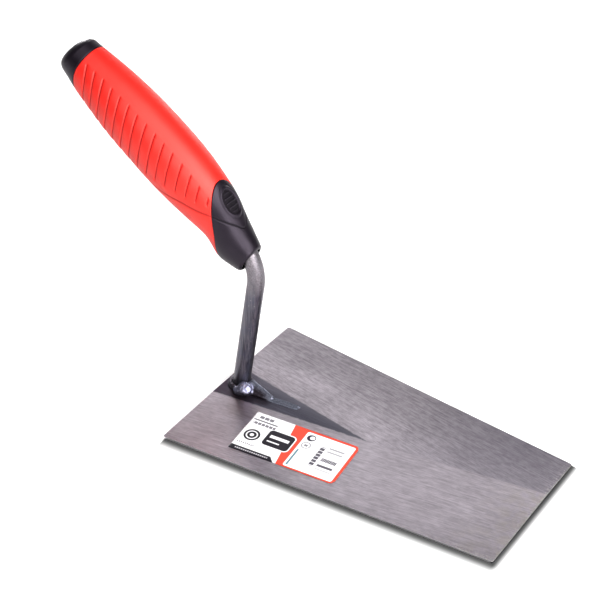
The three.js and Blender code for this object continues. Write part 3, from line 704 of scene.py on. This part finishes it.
def make_blade():
    bevel, corner = 0.12, 1.1
    ends = [0.0, 0.06, 0.16, 0.35, 0.65, corner]
    stations = ends + list(np.arange(4, 82, 4)) + [83.6, 85.6, 86.6, 87.4, 89.0, 91.0] + list(np.arange(94, 177, 4)) + [
        BLADE_LENGTH - d for d in reversed(ends)
    ]
    rings = []
    for x in stations:
        back = min(x, BLADE_LENGTH - x)                      # distance to the nearer end
        pull = corner - math.sqrt(max(corner**2 - (corner - min(back, corner)) ** 2, 0.0))
        e = edge_y(x) - pull
        cut = bevel - min(back, bevel)                       # the end's own bevel
        nick = [0.0, 0.0]
        for k, side in enumerate((-1, 1)):
            v = noise.noise(Vector((x * 0.09, side * 7.0, 3.1))) + 0.5 * noise.noise(Vector((x * 0.5, side * 5.0, 9.1)))
            nick[k] = 0.05 * v
        el, er = -(e + nick[0]), e + nick[1]
        lo = near_crest(x)
        hi = FAR_A + FAR_B * x
        if hi < lo + 0.06:
            hi = max(lo + 0.06, lo + (x - TIP_X) * 0.10)
        zt = edge_z(x) - cut
        ys = [el + bevel + (lo - 0.4 - el - bevel) * t for t in np.linspace(0, 1, 11)] + [lo]
        ys += [lo + (hi - lo) * t for t in np.linspace(0, 1, 7)[1:]]
        ys += [hi + (er - bevel - hi) * t for t in np.linspace(0, 1, 12)[1:]]
        top = []
        for yy in ys:
            h = blade_top(x, yy)
            top.append((x, yy, h - cut))
        b3 = bevel * 0.3
        ring = [(x, el + bevel, cut), (x, el + b3, cut + b3), (x, el, cut + bevel), (x, el, zt - bevel), (x, el + b3, zt - b3)]
        ring += top
        ring += [(x, er - b3, zt - b3), (x, er, zt - bevel), (x, er, cut + bevel), (x, er - b3, cut + b3), (x, er - bevel, cut)]
        ring += [(x, er - bevel + (el - er + 2 * bevel) * t, cut) for t in np.linspace(0, 1, 14)[1:-1]]
        rings.append(np.array(ring, float))
    # the flat ends: pull the first and last ring in by the bevel
    verts, faces = lofted(rings)
    ob = mesh_object("blade_plate", verts, faces, [M_GROUND, M_UNDER])
    for face in ob.data.polygons:
        face.material_index = 1 if face.normal.z < -0.5 else 0
    ob.data.set_sharp_from_angle(angle=math.radians(14)) if hasattr(ob.data, "set_sharp_from_angle") else None
    return finish_piece(ob, "ground_steel", "blade")


# ------------------------------------------------------------------ neck bar
def neck_path(n_low=40, n_bend=36, n_tang=20):
    lean, rise = math.radians(BAR_LEAN), math.radians(TANG_RISE)
    up = np.array([math.sin(lean), 0, math.cos(lean)])
    back = np.array([-math.cos(rise), 0, math.sin(rise)])
    foot = np.array([BAR_FOOT, 0, 2.0])
    corner = foot + up * (BAR_CORNER_Z - 2) / up[2]
    turn = math.acos(float(up @ back))
    reach = BAR_BEND * math.tan(turn / 2)
    b0, b1 = corner - up * reach, corner + back * reach
    inward = np.array([-up[2], 0, up[0]])
    pts, tan = [], []
    for t in np.linspace(0, 1, n_low, endpoint=False):
        pts.append(foot + (b0 - foot) * t)
        tan.append(up)
    for t in np.linspace(0, 1, n_bend, endpoint=False):
        a = turn * t
        pts.append(b0 + inward * BAR_BEND * (1 - math.cos(a)) + up * BAR_BEND * math.sin(a))
        tan.append(up * math.cos(a) + inward * math.sin(a))
    for t in np.linspace(0, 1, n_tang):
        pts.append(b1 + back * TANG_LENGTH * t)
        tan.append(back)
    return np.array(pts), np.array(tan), n_low, n_bend


def make_bar():
    pts, tan, n_low, n_bend = neck_path()
    sides = 48
    rings = []
    ang = np.linspace(0, 2 * math.pi, sides, endpoint=False)
    for i, (p, t) in enumerate(zip(pts, tan)):
        n1 = np.array([-t[2], 0, t[0]])        # in the bend's plane, towards its inside
        n2 = np.array([0, 1.0, 0])
        k = (i - n_low) / n_bend
        bend = math.sin(math.pi * min(max(k, 0), 1)) if 0 < k < 1 else 0.0
        ra = BAR_R * (1 - 0.035 * bend)
        rb = BAR_R * (1 + 0.02 * bend)
        if i == len(pts) - 1:
            ra = rb = BAR_R * 0.78
        ring = []
        for a in ang:
            q = p + n1 * math.cos(a) * ra + n2 * math.sin(a) * rb
            w = 0.03 * noise.noise(Vector(q * 0.22))
            ring.append(q + (n1 * math.cos(a) + n2 * math.sin(a)) * w)
        rings.append(np.array(ring))
    verts, faces = lofted(rings)
    ob = mesh_object("neck_bar", verts, faces, [M_BLACK_STEEL])
    return finish_piece(ob, "black_steel", "neck_rod")


# ------------------------------------------------------------------ weld
def make_weld():
    blobs = []
    # smooth collar around the bar's foot
    cx, cz = BAR_FOOT + 0.15, 2.2
    for i in range(72):
        a = 2 * math.pi * i / 72
        r = 5.25 + 0.12 * math.sin(5 * a + 1.0)
        blobs.append((cx + r * math.cos(a), r * math.sin(a), cz + 0.35, 1.95 + 0.14 * math.sin(3 * a), 1.0))
    # bright nugget on the near front of the foot: one lump that is widest at its front and falls off to the side
    blobs += [(14.8, -5.0, 4.1, 3.75, 1.0), (13.6, -5.7, 3.9, 3.55, 1.0), (12.4, -6.3, 3.6, 3.2, 1.0),
              (11.3, -6.8, 3.3, 2.8, 1.0), (13.2, -4.6, 5.5, 2.8, 1.0)]
    # heavy lump forward from the foot: an upper and a lower run that melt into each other
    for t in np.linspace(0, 1, 24):
        ripple = 0.03 * math.sin(t * 26)
        blobs.append((15.4 + 13.2 * t, -0.1 - 1.5 * t, 4.3 - 1.7 * t, 2.9 - 1.45 * t + ripple, 1.0))
        blobs.append((17.4 + 10.6 * t, -3.4 + 0.6 * t, 2.9 - 0.7 * t, 2.2 - 0.95 * t - ripple, 1.0))
    # flat tail: a thin ridge beside a broad one, both sinking into the blade at the end
    for t in np.linspace(0, 1, 40):
        x = 27.6 + 18.6 * t
        sink = 1.1 * max(0.0, (t - 0.80) / 0.20) ** 2
        thin = 1.0 - 0.30 * max(0.0, (t - 0.60) / 0.40)
        blobs.append((x, -1.35 + 2.45 * t, 2.30 - sink, (0.86 + 0.05 * math.sin(t * 31)) * thin, 1.0))
        blobs.append((x, -2.75 + 2.2 * t, 1.90 - sink, (1.16 - 0.12 * t + 0.04 * math.sin(t * 23)) * thin, 1.0))
        blobs.append((x, -3.50 + 2.5 * t, 1.80 - sink, (1.06 - 0.12 * t) * thin, 1.0))
    bm = bmesh.new()
    for x, y, z, r, _ in blobs:
        q = to_world([(x, y, z)])[0]
        bmesh.ops.create_icosphere(bm, subdivisions=3, radius=r * 0.001, matrix=Matrix.Translation(Vector(q)))
    me = bpy.data.meshes.new("weld_bead")
    bm.to_mesh(me)
    bm.free()
    ob = bpy.data.objects.new("weld_bead", me)
    bpy.context.scene.collection.objects.link(ob)
    rm = ob.modifiers.new("remesh", "REMESH")
    rm.mode = "VOXEL"
    rm.voxel_size = 0.00028
    sm = ob.modifiers.new("smooth", "SMOOTH")
    sm.factor = 0.5
    sm.iterations = 14
    dg = bpy.context.evaluated_depsgraph_get()
    baked = bpy.data.meshes.new_from_object(ob.evaluated_get(dg))
    ob.modifiers.clear()
    ob.data = baked
    co = np.zeros(len(baked.vertices) * 3, np.float32)
    baked.vertices.foreach_get("co", co)
    co = co.reshape(-1, 3)
    nr = np.zeros(len(baked.vertices) * 3, np.float32)
    baked.vertices.foreach_get("normal", nr)
    nr = nr.reshape(-1, 3)
    nugget = Vector([float(v) for v in to_world([(13.9, -5.5, 4.1)])[0]]) * 1000
    for i in range(len(co)):
        q = Vector((float(co[i, 0]), float(co[i, 1]), float(co[i, 2]))) * 1000
        w = 0.12 * noise.noise(q * 0.45) + 0.04 * noise.noise(q * 1.1)
        # small facets on the nugget, where the metal froze last
        near = math.exp(-(((q - nugget).length / 4.6) ** 4))
        w += near * 0.34 * noise.noise(q * 0.85 + Vector((3.1, 0.4, 7.7)))
        co[i] += nr[i] * w * 0.001
    co[:, 2] = np.maximum(co[:, 2], 0.0008)
    baked.vertices.foreach_set("co", co.ravel())
    baked.materials.clear()
    baked.materials.append(M_WELD)
    baked.polygons.foreach_set("use_smooth", [True] * len(baked.polygons))
    baked.update()
    return finish_piece(ob, "weld_steel", "neck_weld")


# ------------------------------------------------------------------ handle surface detail
DEG = math.pi / 180
LINE_T = np.array([0, 6, 13, 22, 30, 47, 60, 66, 80, 93, 109, 122, 133, 148, 165, 180.0])
LINE_S = np.array([66.1, 65.75, 64.6, 62.9, 61.4, 57.7, 53.7, 51.3, 45.2, 37.2, 28.6, 21.4, 14.6, 6.5, 0.5, -1.5])
line_of = spline(np.concatenate([-LINE_T[3:0:-1], LINE_T, 360 - LINE_T[-2:-4:-1]]),
                 np.concatenate([LINE_S[3:0:-1], LINE_S, LINE_S[-2:-4:-1]]))
GROOVE_S40 = [-44.0, -38.2, -32.3, -26.1, -20.2, -14.0, -7.9, -1.6, 4.9, 11.1, 17.4, 24.3, 30.9, 37.3, 44.2]
GROOVE_T0 = [45, 43, 41, 41, 40, 39, 40, 39, 39, 39, 39, 39, 40, 42, 44]
GROOVE_T1 = [200, 200, 200, 200, 172, 156, 141, 127, 112, 102, 95, 86, 78, 70, 57]
GROOVE_F = spline([-20, 0, 15, 35, 52, 72, 84, 100, 120, 140], [-2.2, 0, 2.1, 5.05, 7.45, 9.3, 10.1, 10.9, 11.5, 11.7])


def skin_detail(s, theta):
    """Depth, in mm, that the handle's skin moves in (positive) or out at a station and angle, and its hollow share."""
    t = np.abs((theta / DEG + 180) % 360 - 180)
    depth = np.zeros_like(s)
    hollow = np.zeros_like(s)
    # the moulded edge line that runs from the top of the nose down to the belly
    ls = line_of(t)
    slope = (line_of(np.clip(t + 1, 0, 180)) - line_of(np.clip(t - 1, 0, 180))) / 2
    r = radius_of(np.clip(s, -55, 80))
    arc = r * DEG
    steep = np.sqrt(1 + (slope / arc) ** 2)
    d = (s - ls) / steep
    depth += 0.50 * np.exp(-((d / 0.28) ** 2))
    depth += 0.07 * smooth(-0.25, 0.35, d) * np.exp(-np.maximum(d, 0) / 7.0)
    hollow = np.maximum(hollow, np.exp(-((d / 0.50) ** 2)))
    # diagonal grooves
    for s40, t0, t1 in zip(GROOVE_S40, GROOVE_T0, GROOVE_T1):
        sg = s40 + GROOVE_F(np.clip(t - 40, -20, 140))
        u = s - sg
        fade = smooth(t0 - 0.8, t0 + 1.8, t) * (1 - smooth(t1 - 2.5, t1 + 1.0, t))
        depth += fade * (0.66 * np.exp(-((u / 0.36) ** 2)) + 0.05 * np.exp(-((u / 1.4) ** 2)))
        depth += fade * 0.20 * smooth(0.0, 0.5, u) * np.exp(-np.maximum(u, 0) / 2.4)
        hollow = np.maximum(hollow, fade * np.exp(-((u / 0.40) ** 2)))
    return depth, hollow


def thumb_rest(s, theta):
    """Oval rest with cross ribs on top of the nose: depth in mm and hollow share."""
    t = (theta / DEG + 180) % 360 - 180
    w = radius_of(s) * KB * t * DEG
    ds = s - 52.6
    q = np.sqrt((ds / 7.4) ** 2 + (w / 5.6) ** 2)
    inside = 1 - smooth(0.80, 0.88, q)
    rim = -0.20 * smooth(0.86, 0.93, q) * (1 - smooth(0.98, 1.06, q))
    rib = np.clip(np.cos(ds * 2 * math.pi / 2.3), 0, 1) ** 1.5 * (1 - smooth(0.62, 0.76, q))
    moat = np.exp(-(((q - 1.12) / 0.05) ** 2))
    return 0.85 * inside + rim - 0.62 * rib + 0.14 * moat, np.clip(inside - 0.75 * rib, 0, 1) + 0.5 * moat


def make_grip():
    nt = 200
    th = np.linspace(0, 2 * math.pi, nt, endpoint=False)
    s0 = limit_station(th, rear_of, -44.0) + 0.12
    s1 = limit_station(th, front_of, 55.0) - 0.10
    rings = []
    nu = 470
    edge = [(0.0, 0.30), (0.10, 0.12), (0.30, 0.0)]           # rounded edges: distance in, depth
    us = np.linspace(0, 1, nu)
    fade = None

    def skin(s, inset):
        r = radius_of(s)
        a, b = KA * r - inset, KB * r - inset
        return handle_to_heel(s, -b * np.sin(th), drop_of(s) + a * np.cos(th))

    outer, hollows = [], []
    for dist, dep in edge[:2]:
        outer.append((s0 + dist, np.full(nt, dep)))
        hollows.append(np.zeros(nt))
    for u in us:
        s = (s0 + 0.30) + (s1 - 0.30 - s0 - 0.30) * u
        depth, hollow = skin_detail(s, th)
        outer.append((s, depth))
        hollows.append(hollow)
    for dist, dep in reversed(edge[:2]):
        depth, hollow = skin_detail(s1 - dist, th)
        outer.append((s1 - dist, np.full(nt, dep) + depth * 0.5))
        hollows.append(hollow * 0.5)
    for s, dep in outer:
        rings.append(skin(s, dep))
    inner = [(s1, 1.6), (s1 - 0.05, GRIP_WALL - 0.05)]
    for u in np.linspace(1, 0, 24)[1:-1]:
        inner.append((s0 + (s1 - s0) * u, GRIP_WALL - 0.05))
    inner += [(s0 + 0.05, GRIP_WALL - 0.05), (s0, 1.6)]
    for s, dep in inner:
        rings.append(skin(s, np.full(nt, dep)))
    verts, faces = lofted(rings, closed=True)
    ob = mesh_object("grip", verts, faces, [M_RED])
    set_hollow(ob, np.concatenate(hollows))
    return finish_piece(ob, "red_rubber", "grip_sleeve")


def make_core():
    nt = 220
    th = np.linspace(0, 2 * math.pi, nt, endpoint=False)
    s0 = limit_station(th, rear_of, -44.0) + 0.35
    s1 = limit_station(th, front_of, 55.0) + 0.08
    h_end = drop_of(np.full(nt, 79.0)) + KA * radius_of(np.full(nt, 79.0)) * np.cos(th)
    s2 = nose_end_of(h_end)

    def skin(s, inset):
        r = radius_of(s)
        a, b = KA * r - inset, KB * r - inset
        return handle_to_heel(s, -b * np.sin(th), drop_of(s) + a * np.cos(th))

    rings = []
    # hidden tube under the grip
    for u in np.linspace(0, 1, 26):
        s = s0 + (s1 - 0.25 - s0) * u
        rings.append(skin(s, np.full(nt, GRIP_WALL + 0.1)))
    rings.append(skin(s1 - 0.05, np.full(nt, 1.4)))
    hollows = [np.zeros(nt) for _ in rings]
    # exposed nose
    for dist, dep in ((0.0, 0.32), (0.10, 0.12)):
        depth, hollow = skin_detail(s1 + dist, th)
        rings.append(skin(s1 + dist, dep + 0.5 * depth))
        hollows.append(hollow * 0.5)
    for u in np.linspace(0, 1, 200):
        s = (s1 + 0.3) + (s2 - 1.1 - s1 - 0.3) * u
        depth, hollow = skin_detail(s, th)
        pan, pan_hollow = thumb_rest(s, th)
        rings.append(skin(s, depth + pan))
        hollows.append(np.maximum(hollow, pan_hollow))
    for _ in range(4):
        hollows.append(np.zeros(nt))
    # rounded lip, end face and flared mouth
    for a in (25, 50, 75, 90):
        k = math.sin(a * DEG)
        c = 1 - math.cos(a * DEG)
        rings.append(skin(s2 - 1.1 + 1.1 * k, 1.1 * c + 0 * s2))
    mouth_c = np.array([78.6, 0.0, -6.55])
    ys, hs = -np.sin(th), np.cos(th)

    def bore(r, s_c, h_c, slant=0.125):
        h = h_c + r * hs
        s = s_c - slant * (h - h_c)
        return handle_to_heel(s, r * ys, h)

    rings.append(bore(6.85, 78.95, -6.80))
    rings.append(bore(6.70, 78.5, -6.75))
    rings.append(bore(6.50, 77.6, -6.55))
    rings.append(bore(6.10, 75.0, -5.90, 0.1))
    rings.append(bore(5.5, 72.0, -4.7, 0.05))
    rings.append(bore(4.75, 69.5, -3.7, 0.0))
    for s_c in (66, 50, 30, 9, 7.4):
        rings.append(bore(4.62, s_c, -0.12 - 0.0435 * (s_c - 0), 0.0))
    # the hidden tube's rear end is closed by the first ring's cap
    verts, faces = lofted(rings)
    ob = mesh_object("handle_body", verts, faces, [M_BLACK])
    # the mouth and bore rings get full hollow share, which the material paints as dark shade
    hollows += [np.ones(nt)] * (len(rings) - len(hollows))
    set_hollow(ob, np.concatenate(hollows))
    return finish_piece(ob, "black_plastic", "handle_core")


def make_cap():
    nt = 160
    th = np.linspace(0, 2 * math.pi, nt, endpoint=False)
    s1 = limit_station(th, rear_of, -44.0) - 0.05

    def skin(s, inset):
        r = radius_of(s)
        a, b = KA * r - inset, KB * r - inset
        return handle_to_heel(s, -b * np.sin(th), drop_of(s) + a * np.cos(th))

    rings = []
    # domed end: radius share against station
    dome = [(0.0, 0.10), (0.07, 0.26), (0.21, 0.42), (0.46, 0.56), (0.8, 0.68), (1.3, 0.79), (1.96, 0.875), (2.73, 0.935),
            (3.45, 0.968), (4.2, 0.988), (5.0, 1.0)]

    def lean(s, h):
        return s + 0.08 * h * (1 - smooth(-54.5, -49.5, s))

    for ds, k in dome:
        s = -56.55 + ds
        r = radius_of(np.full(nt, max(s, -54.0))) * k
        h = -0.13 + KA * r * np.cos(th)
        rings.append(handle_to_heel(lean(np.full(nt, s), h), -KB * r * np.sin(th), h))
    for u in np.linspace(0, 1, 26)[1:]:
        s = -51.55 + (s1 - 0.45 + 51.55) * u
        r = radius_of(s)
        h = drop_of(s) + KA * r * np.cos(th)
        rings.append(handle_to_heel(lean(s, h), -KB * r * np.sin(th), h))
    # small raised rim beside the grip, then the rounded edge
    rings.append(skin(s1 - 0.15, np.full(nt, 0.06)))
    rings.append(skin(s1, np.full(nt, 0.28)))
    rings.append(skin(s1, np.full(nt, 2.6)))
    spig = 6.2

    def tube(r, s_c):
        return handle_to_heel(s_c, -r * np.sin(th), r * np.cos(th))

    rings.append(tube(spig, s1 - 0.02 + 0 * th))
    rings.append(tube(spig, np.full(nt, -34.4)))
    rings.append(tube(spig - 0.5, np.full(nt, -33.9)))
    rings.append(tube(0.8, np.full(nt, -33.9)))
    verts, faces = lofted(rings)
    ob = mesh_object("end_cap", verts, faces, [M_BLACK])
    return finish_piece(ob, "black_plastic", "butt_cap")


# ------------------------------------------------------------------ label
def make_label():
    nx, ny = 70, 36
    r = 2.6
    hx, hy = LABEL_LENGTH / 2, LABEL_WIDTH / 2
    turn = math.radians(LABEL_TURN)
    verts, uvs = [], []
    for layer in (0, 1):
        for i in range(nx + 1):
            for j in range(ny + 1):
                u, v = i / nx, j / ny
                lx = -hx + 2 * hx * u
                lim = hy
                if lx > hx - r:                     # rounded corners at the right end
                    lim = hy - r + math.sqrt(max(r * r - (lx - hx + r) ** 2, 0.0))
                ly = -lim + 2 * lim * v
                wx = LABEL_AT[0] + lx * math.cos(turn) - ly * math.sin(turn)
                wy = LABEL_AT[1] + lx * math.sin(turn) + ly * math.cos(turn)
                lift = 0.05 + 0.05 * (0.5 + 0.5 * noise.noise(Vector((wx * 0.08, wy * 0.08, 2.0))))
                corner = max(0.0, abs(lx) / hx - 0.93) * max(0.0, abs(ly) / hy - 0.86) * 28
                lift += corner * (0.5 if lx > 0 else 0.25)
                verts.append((wx, wy, blade_top(wx, wy) + lift + (0.10 if layer else 0.0)))
                uvs.append((0.5 + lx / (2 * hx), 0.5 + ly / (2 * hy)))
    n1 = (nx + 1) * (ny + 1)

    def vid(i, j, layer):
        return layer * n1 + i * (ny + 1) + j

    faces = []
    for i in range(nx):
        for j in range(ny):
            faces.append((vid(i, j, 1), vid(i + 1, j, 1), vid(i + 1, j + 1, 1), vid(i, j + 1, 1)))
            faces.append((vid(i, j, 0), vid(i, j + 1, 0), vid(i + 1, j + 1, 0), vid(i + 1, j, 0)))
    for i in range(nx):
        faces.append((vid(i, 0, 0), vid(i + 1, 0, 0), vid(i + 1, 0, 1), vid(i, 0, 1)))
        faces.append((vid(i + 1, ny, 0), vid(i, ny, 0), vid(i, ny, 1), vid(i + 1, ny, 1)))
    for j in range(ny):
        faces.append((vid(0, j + 1, 0), vid(0, j, 0), vid(0, j, 1), vid(0, j + 1, 1)))
        faces.append((vid(nx, j, 0), vid(nx, j + 1, 0), vid(nx, j + 1, 1), vid(nx, j, 1)))
    ob = mesh_object("sticker", np.array(verts), faces, [M_LABEL])
    layer = ob.data.uv_layers.new(name="print")
    flat = np.array(uvs)
    loops = np.zeros(len(ob.data.loops), np.int32)
    ob.data.loops.foreach_get("vertex_index", loops)
    layer.data.foreach_set("uv", flat[loops].ravel())
    return finish_piece(ob, "label_paper", "label")


make_blade()
make_bar()
make_weld()
make_core()
make_grip()
make_cap()
make_label()


# ------------------------------------------------------------------ stage, light, camera
def make_stage():
    """Plain pale floor. It has a soft painted contact shadow just outside the blade's near and free edges."""
    me = bpy.data.meshes.new("floor")
    h = 4.0
    me.from_pydata([(-h, -h, -0.0002), (h, -h, -0.0002), (h, h, -0.0002), (-h, h, -0.0002)], [], [(0, 1, 2, 3)])
    n = Nodes("floor")
    x, y, _ = n.sep(n.mapping(n.obj, scale=(MM, MM, MM), location=(-HEEL_X, 0, 0)))
    run = math.hypot(BLADE_LENGTH, HALF_HEEL - HALF_TOE)
    nx, ny = (HALF_HEEL - HALF_TOE) / run, -BLADE_LENGTH / run
    near = n.add(n.mul(x, nx), n.mul(n.add(y, HALF_HEEL), ny))              # distance outside the near edge
    toe = n.sub(x, BLADE_LENGTH)                                            # distance beyond the free end
    far = n.sub(n.mul(n.sub(y, HALF_HEEL), -ny), n.mul(x, -nx))             # distance outside the far edge
    a = n.mul(n.math("MAXIMUM", near, 0.0), 0.77)
    b = n.mul(n.math("MAXIMUM", toe, 0.0), 1.3)
    c = n.mul(n.math("MAXIMUM", far, 0.0), 8.0)
    d = n.math("SQRT", n.add(n.mul(a, a), n.add(n.mul(b, b), n.mul(c, c))))
    d = n.add(d, n.mul(n.math("MAXIMUM", n.sub(1.2, x), 0.0), 4.0))
    # painted contact shadow: the floor darkens to 0.10 right by the near and free edges and fades out a few millimetres
    # away
    tone = n.range(d, 0.2, 6.2, 0.0, 1.0, kind="SMOOTHSTEP")
    m = n.set(color=n.mix(tone, (0.10, 0.10, 0.10), (0.97, 0.97, 0.97)), roughness=0.9, specular=0.1)
    n.bsdf.inputs["Emission Color"].default_value = (1.0, 1.0, 1.0, 1)
    # far from the lights the floor keeps its pale tone to the eye, and doesn't light the trowel
    spread = n.math("SQRT", n.add(n.mul(x, x), n.mul(y, y)))
    eye = n.t.nodes.new("ShaderNodeLightPath").outputs["Is Camera Ray"]
    n.link(n.add(n.mul(tone, 0.12), n.mul(eye, n.range(spread, 450.0, 1100.0, 0.0, 1.0, kind="SMOOTHSTEP"))),
           n.bsdf.inputs["Emission Strength"])
    me.materials.append(m)
    ob = bpy.data.objects.new("floor", me)
    bpy.context.scene.collection.objects.link(ob)


def softbox(name, azimuth, elevation, diameter, power, distance=1.6):
    """A round soft light that faces the object. Azimuth is counted from +X towards +Y, in degrees."""
    az, el = math.radians(azimuth), math.radians(elevation)
    d = Vector((math.cos(el) * math.cos(az), math.cos(el) * math.sin(az), math.sin(el)))
    data = bpy.data.lights.new(name, "AREA")
    data.shape = "DISK"
    data.size = diameter
    data.energy = power
    ob = bpy.data.objects.new(name, data)
    ob.location = Vector((0.0, 0.0, 0.06)) + d * distance
    ob.rotation_euler = (-d).to_track_quat("-Z", "Y").to_euler()
    ob.visible_camera = False
    bpy.context.scene.collection.objects.link(ob)
    return ob


def make_world():
    """Dim room light, with a plain white background behind the floor's edge."""
    world = bpy.data.worlds.new("studio")
    bpy.context.scene.world = world
    world.use_nodes = True
    t = world.node_tree
    bg = t.nodes["Background"]
    bg.inputs["Color"].default_value = (1.0, 1.0, 1.0, 1)
    path = t.nodes.new("ShaderNodeLightPath")
    level = t.nodes.new("ShaderNodeMapRange")
    level.inputs["To Min"].default_value = 0.03
    level.inputs["To Max"].default_value = 1.0
    t.links.new(path.outputs["Is Camera Ray"], level.inputs["Value"])
    t.links.new(level.outputs[0], bg.inputs["Strength"])


make_stage()
make_world()
for light in (
    ("low_right_front", 340, 9, 0.42, 6.8), ("low_right", 20, 9, 0.42, 0.9), ("low_back_right", 100, 9, 0.42, 2.9),
    ("low_back", 140, 9, 0.42, 6.3), ("low_back_left", 180, 9, 0.42, 0.7),
    ("right", 0, 32, 0.95, 12.6), ("right_front", 320, 32, 0.95, 9.3), ("front", 280, 32, 0.95, 5.2),
    ("back_right", 80, 32, 0.95, 0.5), ("back", 120, 32, 0.95, 2.0), ("back_left", 160, 32, 0.95, 1.65),
    ("top_front", 270, 60, 0.95, 1.8), ("camera_side", 304, 36, 0.95, 1.6),
    ("high_right", 349, 58, 1.20, 12.0),
):
    softbox(*light)

# the two strongest side lights are kept off the blade, whose grain would throw them back as plain white from behind
off_blade = bpy.data.collections.new("off_blade")
off_blade.objects.link(bpy.data.objects["blade_plate"])
off_blade.collection_objects[0].light_linking.link_state = "EXCLUDE"
for name in ("right", "right_front"):
    bpy.data.objects[name].light_linking.receiver_collection = off_blade

scene = bpy.context.scene
scene.view_settings.view_transform = "Standard"
scene.view_settings.look = "None"
scene.view_settings.exposure = 0.32
scene.view_settings.gamma = 0.85

cam_data = bpy.data.cameras.new("camera")
cam = bpy.data.objects.new("camera", cam_data)
scene.collection.objects.link(cam)
cam_data.sensor_width = 36.0
cam_data.sensor_fit = "HORIZONTAL"
cam_data.lens = 1614.42 / 600 * 36.0
cam_data.clip_start, cam_data.clip_end = 0.05, 20.0
eye = Vector(((406.03 + HEEL_X) * 0.001, -0.53119, 0.52855))
fwd = Vector((-0.45728841, 0.67366478, -0.58057134)).normalized()
cam.location = eye
right = fwd.cross(Vector((0, 0, 1))).normalized()
up = right.cross(fwd)
cam.matrix_world = Matrix((
    (right.x, up.x, -fwd.x, eye.x), (right.y, up.y, -fwd.y, eye.y), (right.z, up.z, -fwd.z, eye.z), (0, 0, 0, 1),
))
scene.camera = cam
